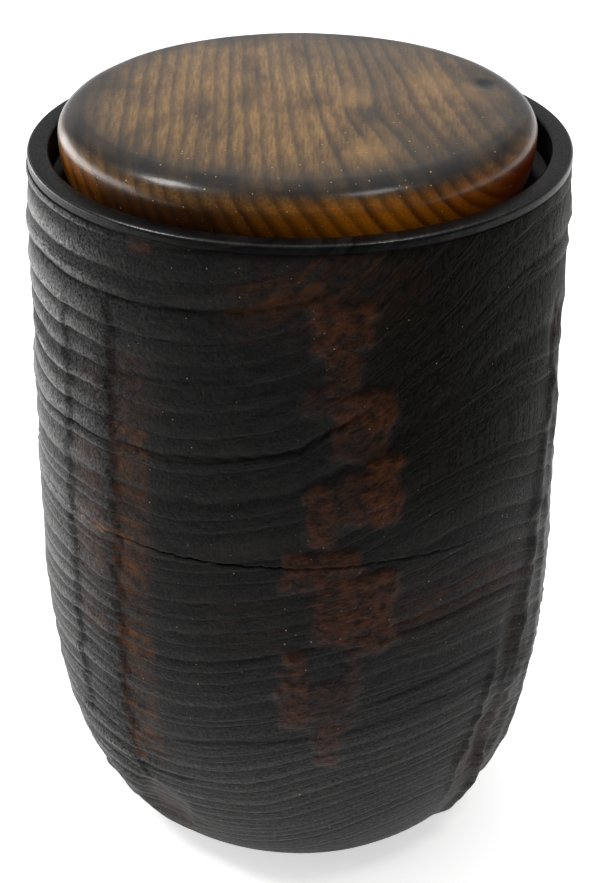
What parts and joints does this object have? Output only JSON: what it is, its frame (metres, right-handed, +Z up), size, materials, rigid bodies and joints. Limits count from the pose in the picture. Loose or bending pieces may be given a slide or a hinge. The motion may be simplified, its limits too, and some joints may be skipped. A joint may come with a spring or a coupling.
{
  "type": "tea caddy",
  "caption": "Small turned and carved wooden tea caddy: a tall round-bottomed pot with a bored tea chamber and a domed lid that drops loose into its mouth.",
  "frame": {"origin": "centre of the flat foot that the pot stands on", "axes": "+Z up along the turning axis, -Y is the side with the scraped red-brown patch, +X to the right when that side faces the viewer"},
  "size_m": [0.08, 0.08, 0.1195],
  "materials": {
    "blackened_wood": "blackened, brushed along the grain, thin dark lacquer, satin",
    "amber_lacquered_wood": "turned smooth, transparent brown lacquer, satin"
  },
  "bodies": {
    "body": {"body": "blackened_wood"},
    "lid": {"lid": "amber_lacquered_wood"}
  },
  "joints": [
    {"name": "lid_lift", "type": "slide", "parent": "body", "child": "lid", "axis": [0, 0, 1], "range_m": [0, 0.045]}
  ]
}
